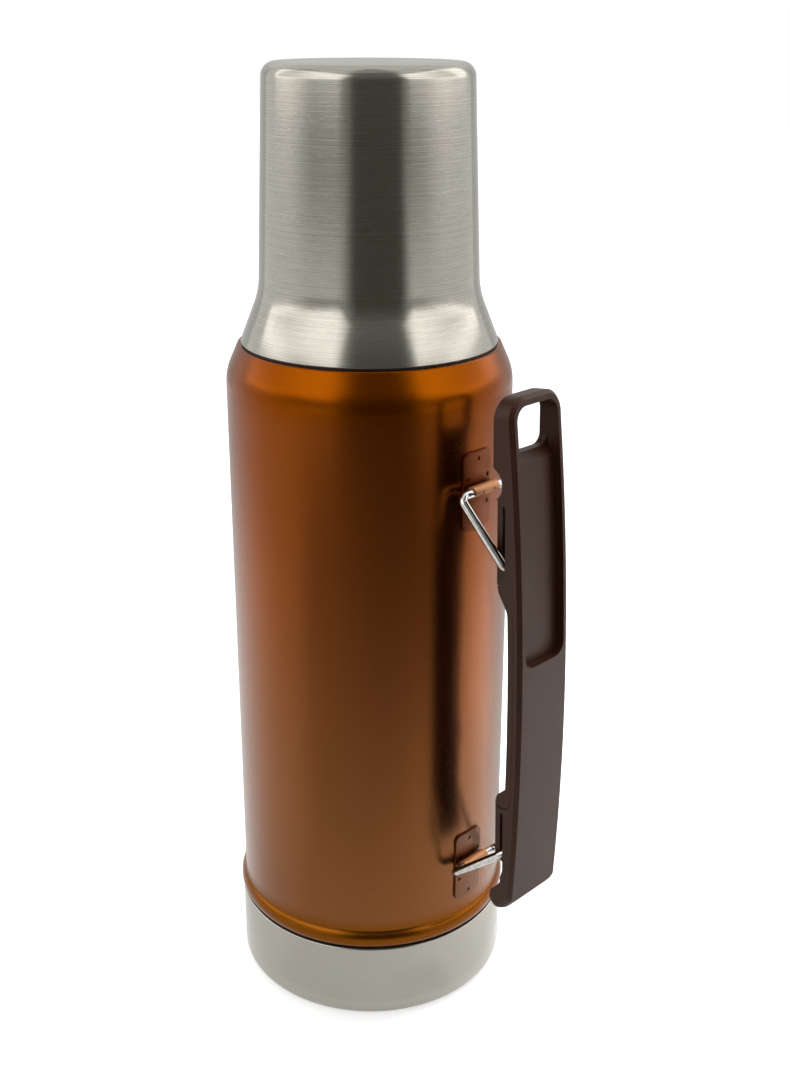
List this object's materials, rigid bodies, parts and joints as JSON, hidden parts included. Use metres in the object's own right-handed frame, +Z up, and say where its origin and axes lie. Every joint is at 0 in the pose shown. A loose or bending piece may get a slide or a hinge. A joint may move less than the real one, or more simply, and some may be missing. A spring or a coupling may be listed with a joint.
{
  "type": "vacuum growler",
  "caption": "Tall double-walled vacuum bottle with painted body, steel foot, steel cup lid over a screw stopper, and a plastic side handle that folds in on wire bails.",
  "frame": {"origin": "middle of the foot on the surface that the bottle stands on", "axes": "+Z up along the bottle, +X towards the handle, -Y towards the bare front of the body"},
  "size_m": [0.1434, 0.1106, 0.3623],
  "materials": {
    "copper_paint": "satin metallic copper paint",
    "steel": "brushed round the axis",
    "chrome_wire": "bright plated",
    "brown_plastic": "satin dark brown",
    "black_plastic": "satin black",
    "gasket_rubber": "soft black",
    "foil": "bright foil",
    "foam": "foam"
  },
  "bodies": {
    "bottle": {"outer_shell": "copper_paint", "base_cup": "steel", "base_gasket": "gasket_rubber", "inner_flask": "steel", "flask_bottom": "steel", "radiation_foil": "foil", "shell_bottom": "steel", "vacuum_seal": "steel", "getter": "steel", "upper_bracket": "copper_paint", "lower_bracket": "copper_paint"},
    "upper_bail": {"upper_bail": "chrome_wire"},
    "lower_bail": {"lower_bail": "chrome_wire"},
    "handle": {"handle_shell": "brown_plastic", "grip_insert": "brown_plastic"},
    "cup": {"cup_shell": "steel", "cup_liner": "black_plastic", "cup_collar": "black_plastic"},
    "stopper": {"stopper_body": "black_plastic", "stopper_cap": "black_plastic", "stopper_insulation": "foam", "stopper_gasket": "gasket_rubber", "stopper_o_ring": "gasket_rubber"}
  },
  "joints": [
    {"name": "handle_fold", "type": "hinge", "parent": "bottle", "child": "upper_bail", "pos_m": [0.0569, 0, 0.219], "axis": [0, 1, 0], "range_deg": [-2, 30]},
    {"name": "lower_fold", "type": "hinge", "parent": "bottle", "child": "lower_bail", "pos_m": [0.0569, 0, 0.0635], "axis": [0, 1, 0], "range_deg": [-34, 2.6]},
    {"name": "handle_hang", "type": "hinge", "parent": "upper_bail", "child": "handle", "pos_m": [0.07703, 0, 0.19649], "axis": [0, 1, 0], "range_deg": [-30.5, 2.5]},
    {"name": "cup_lift", "type": "slide", "parent": "bottle", "child": "cup", "axis": [0, 0, 1], "range_m": [0, 0.12]},
    {"name": "stopper_lift", "type": "slide", "parent": "bottle", "child": "stopper", "axis": [0, 0, 1], "range_m": [0, 0.055]}
  ],
  "couplings": [
    {"joint": "lower_fold", "follows": "handle_fold", "ratio": -1.12},
    {"joint": "handle_hang", "follows": "handle_fold", "ratio": -1}
  ]
}
